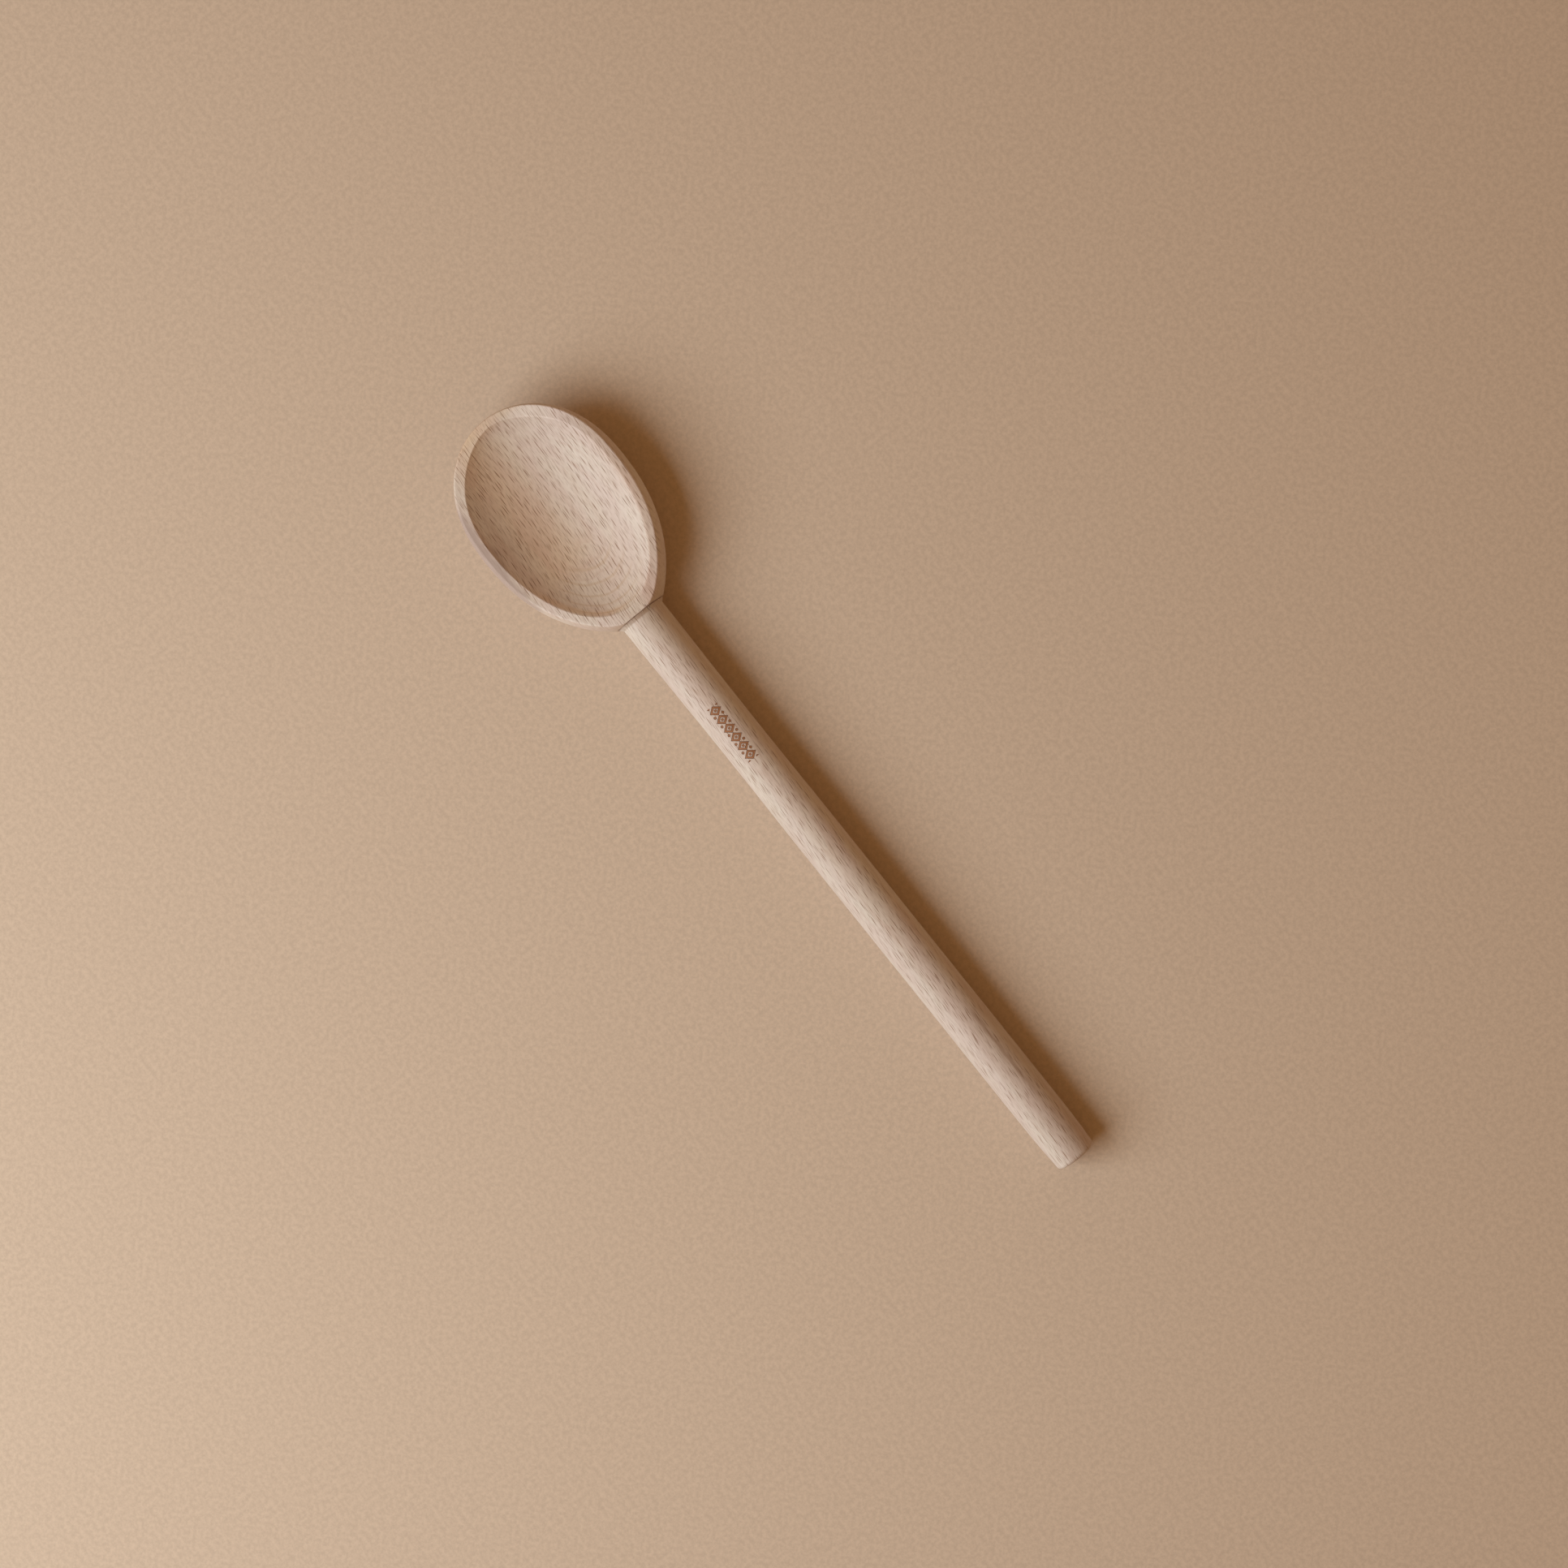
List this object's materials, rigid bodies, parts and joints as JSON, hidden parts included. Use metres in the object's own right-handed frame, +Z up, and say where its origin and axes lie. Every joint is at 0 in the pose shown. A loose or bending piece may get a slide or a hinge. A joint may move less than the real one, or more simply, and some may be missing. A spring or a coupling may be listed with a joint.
{
  "type": "wooden spoon",
  "caption": "Long beech cooking spoon: an egg-shaped bowl with a flat rim and a smooth dished hollow, on a slim round handle with a sanded end.",
  "frame": {"origin": "on the table that the spoon lies on, under the middle of its length and width", "axes": "+X from the bowl towards the handle's end, +Z up out of the bowl's hollow"},
  "size_m": [0.2984, 0.0556, 0.0195],
  "materials": {
    "beech": "sanded, unoiled"
  },
  "bodies": {
    "root": {"bowl": "beech", "handle": "beech"}
  },
  "joints": []
}
